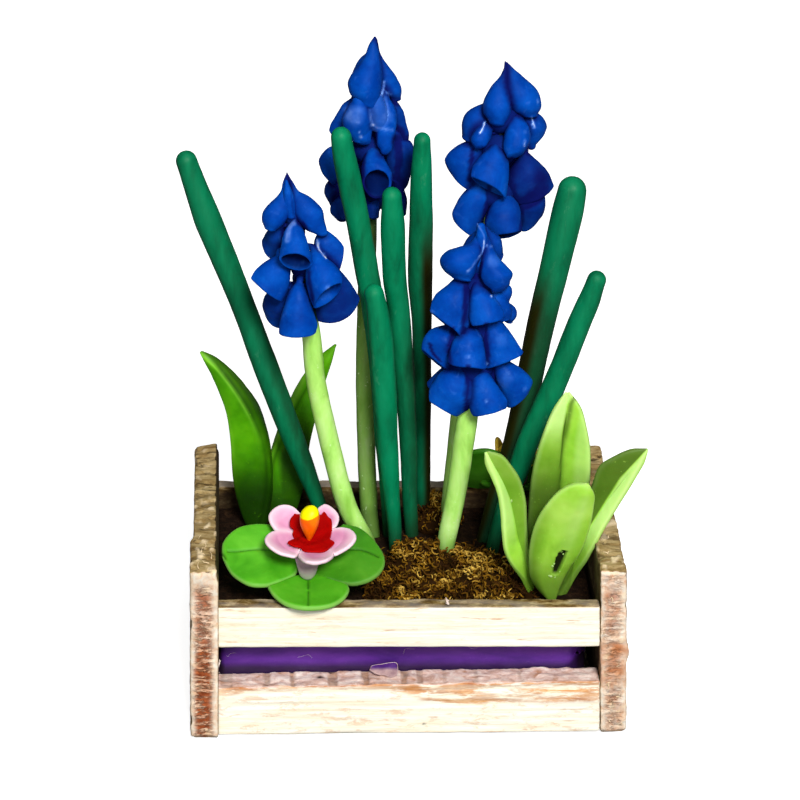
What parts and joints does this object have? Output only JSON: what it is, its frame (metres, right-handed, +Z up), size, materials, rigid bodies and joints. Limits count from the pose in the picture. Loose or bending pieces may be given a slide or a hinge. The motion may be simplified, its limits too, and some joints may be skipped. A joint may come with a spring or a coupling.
{
  "type": "miniature crate garden of clay grape hyacinths",
  "caption": "Doll's-house planter: a slatted raw-wood crate packed with clay and moss, planted with blue grape hyacinth spikes, tubular and flat clay leaves and open blossoms.",
  "frame": {"origin": "near the middle of the underside of the crate's floor board, on the surface the crate stands on", "axes": "+X along the crate to the right seen from the front, +Y from the front slats to the back, +Z up through the flowers"},
  "size_m": [0.0374, 0.0246, 0.0532],
  "materials": {
    "board_wood": "raw sawn softwood with broken end grain, brown pits and grey weathering",
    "slat_wood": "raw sawn pale softwood, fine straight grain, unsanded edges",
    "purple_clay": "satin polymer clay, finger marked",
    "soil": "dark crumbly filler, matte",
    "moss": "dried curly moss, fine strands",
    "blue_clay": "hand-pressed polymer clay with a satin sheen and spots of clear glue",
    "stem_clay": "rolled polymer clay, satin",
    "dark_leaf_clay": "rolled polymer clay, satin",
    "leaf_clay": "pressed polymer clay, lighter at the rim",
    "pale_leaf_clay": "pressed polymer clay, satin",
    "round_leaf_clay": "pressed polymer clay with a scored midrib and a paler rim",
    "pink_clay": "polymer clay, pale rim, satin",
    "yellow_clay": "polymer clay, satin",
    "red_clay": "polymer clay, satin",
    "maroon_clay": "polymer clay, satin",
    "orange_clay": "polymer clay with a clear glossy coat, yellow at the tip",
    "calyx_clay": "translucent pale clay, satin"
  },
  "bodies": {
    "root": {"end_board_left": "board_wood", "end_board_right": "board_wood", "front_slat_upper": "slat_wood", "front_slat_lower": "slat_wood", "rear_slat_upper": "slat_wood", "rear_slat_lower": "slat_wood", "floor_board": "slat_wood", "left_spike_stem": "stem_clay", "rear_spike_stem": "stem_clay", "right_spike_stem": "stem_clay", "front_spike_stem": "stem_clay", "tube_leaf_far_left": "dark_leaf_clay", "tube_leaf_mid_tall": "dark_leaf_clay", "tube_leaf_mid_front": "dark_leaf_clay", "tube_leaf_mid_short": "dark_leaf_clay", "tube_leaf_mid_right": "dark_leaf_clay", "tube_leaf_right_tall": "dark_leaf_clay", "tube_leaf_right_short": "dark_leaf_clay", "left_spike_buds": "blue_clay", "left_spike_florets_1": "blue_clay", "left_spike_florets_2": "blue_clay", "left_spike_florets_3": "blue_clay", "rear_spike_buds": "blue_clay", "rear_spike_florets_1": "blue_clay", "rear_spike_florets_2": "blue_clay", "rear_spike_florets_3": "blue_clay", "right_spike_buds": "blue_clay", "right_spike_florets_1": "blue_clay", "right_spike_florets_2": "blue_clay", "right_spike_florets_3": "blue_clay", "front_spike_buds": "blue_clay", "front_spike_florets_1": "blue_clay", "front_spike_florets_2": "blue_clay", "front_spike_florets_3": "blue_clay", "front_spike_florets_4": "blue_clay", "flat_leaf_left_outer": "leaf_clay", "flat_leaf_left_inner": "leaf_clay", "pale_leaf_left": "pale_leaf_clay", "pale_leaf_back": "pale_leaf_clay", "pale_leaf_front": "pale_leaf_clay", "pale_leaf_right": "pale_leaf_clay", "front_blossom_petals": "pink_clay", "front_blossom_throat": "red_clay", "front_blossom_pistil": "orange_clay", "front_blossom_calyx": "calyx_clay", "front_blossom_leaf_left": "round_leaf_clay", "front_blossom_leaf_right": "round_leaf_clay", "front_blossom_leaf_front": "round_leaf_clay", "rear_blossom_petals": "yellow_clay", "rear_blossom_throat": "maroon_clay", "rear_blossom_pistil": "orange_clay", "rear_blossom_calyx": "calyx_clay", "rear_blossom_leaf_left": "round_leaf_clay", "rear_blossom_leaf_right": "round_leaf_clay", "rear_blossom_leaf_front": "round_leaf_clay", "clay_block": "purple_clay", "soil": "soil", "moss_front": "moss", "moss_rear": "moss"}
  },
  "joints": []
}
